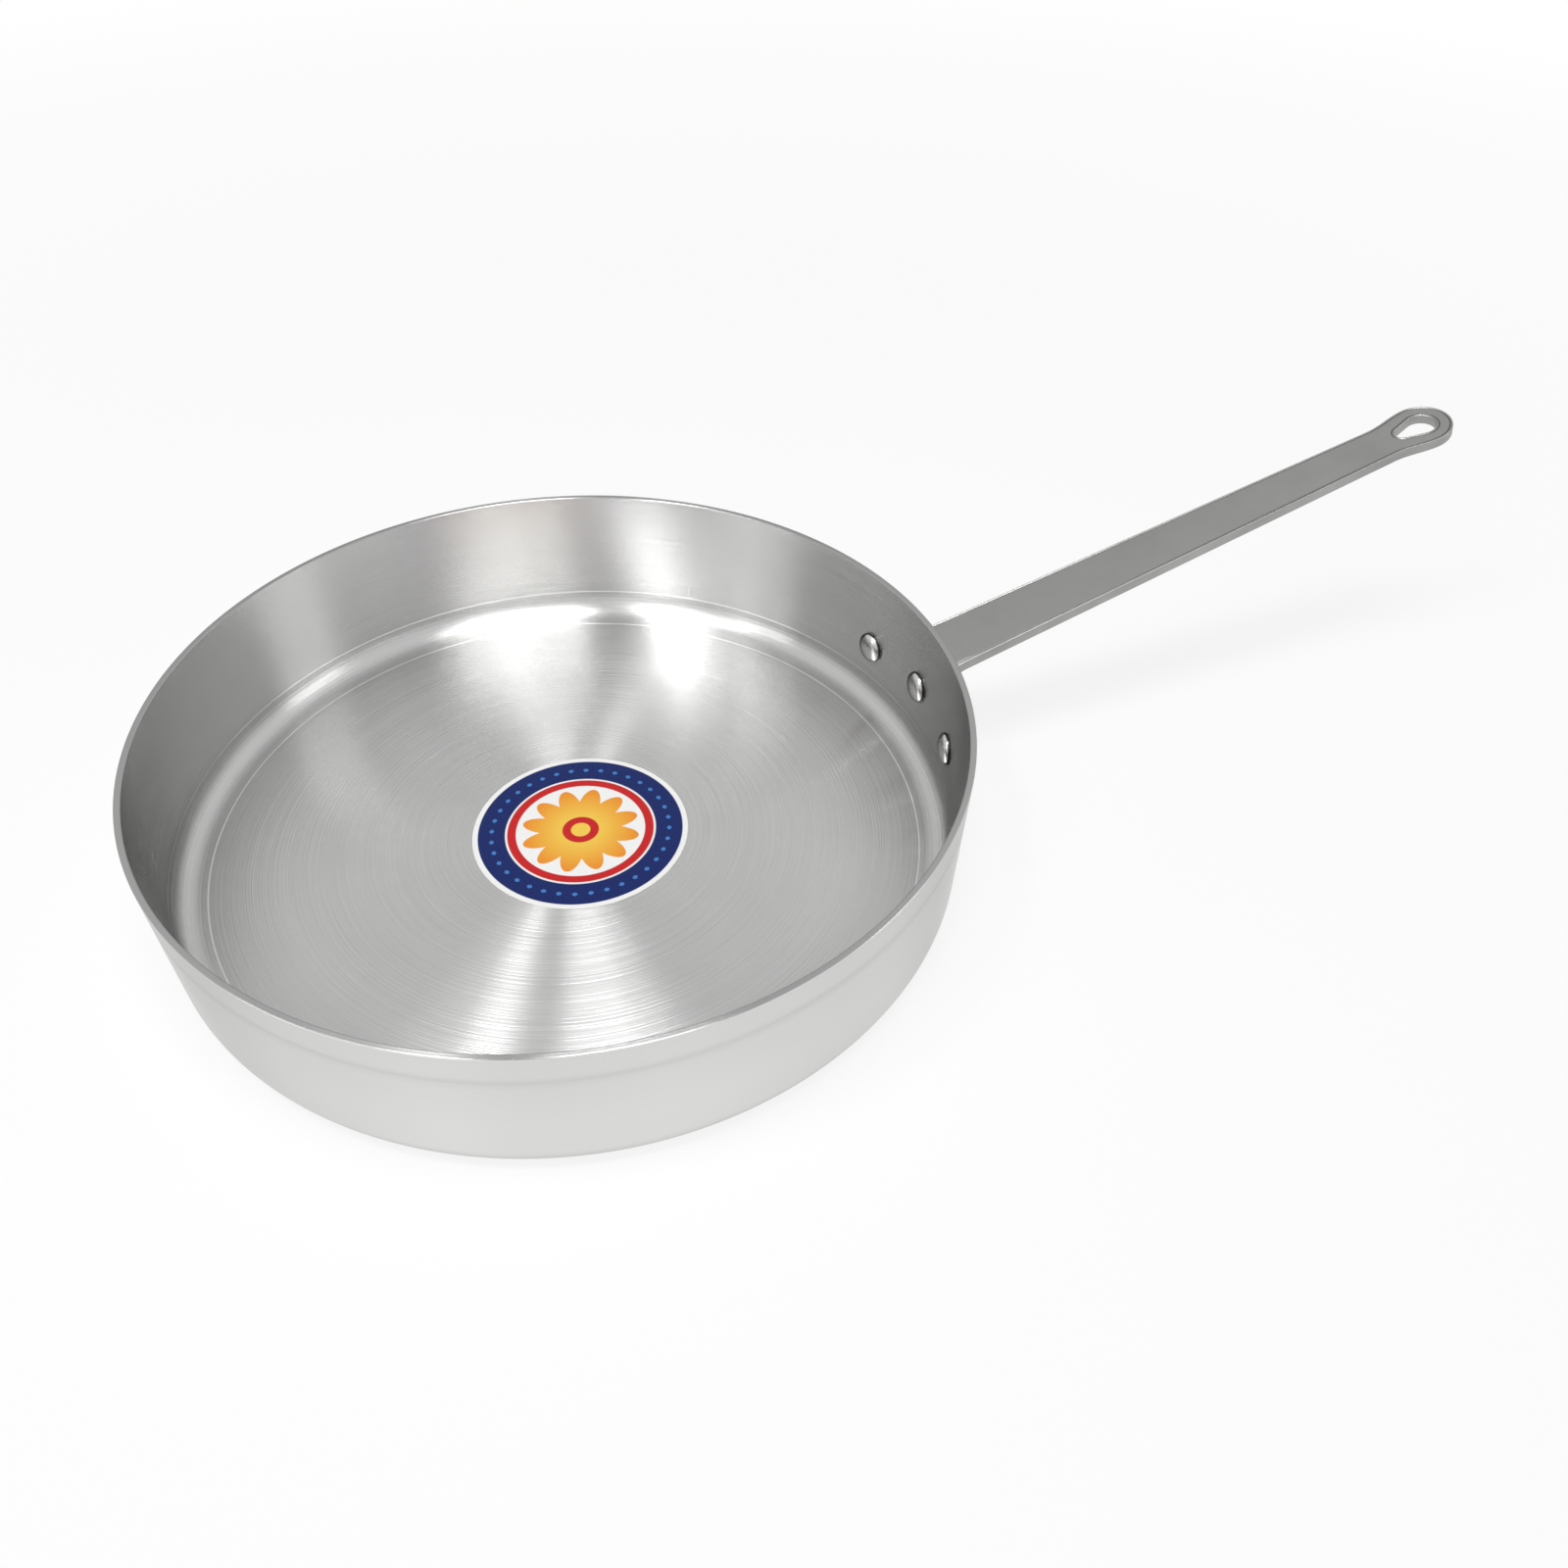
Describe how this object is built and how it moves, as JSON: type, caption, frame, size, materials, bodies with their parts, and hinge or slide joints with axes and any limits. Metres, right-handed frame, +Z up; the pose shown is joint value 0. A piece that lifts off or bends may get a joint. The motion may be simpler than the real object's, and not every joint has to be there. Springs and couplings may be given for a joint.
{
  "type": "saute pan",
  "caption": "Straight-sided round aluminium saute pan with a flat floor, a riveted tapered steel handle ending in a hanging eye, and a round shelf label inside.",
  "frame": {"origin": "centre of the round base's flat underside", "axes": "+Z up out of the open pan, +X out along the handle, +Y to the left when looking along the handle from the pan"},
  "size_m": [0.6314, 0.356, 0.1242],
  "materials": {
    "pan_body": "turned satin",
    "handle": "satin",
    "rivet": "polished",
    "label": "gloss print"
  },
  "bodies": {
    "root": {"pan_body": "pan_body", "handle": "handle", "rivet_left": "rivet", "rivet_middle": "rivet", "rivet_right": "rivet", "label": "label"}
  },
  "joints": []
}
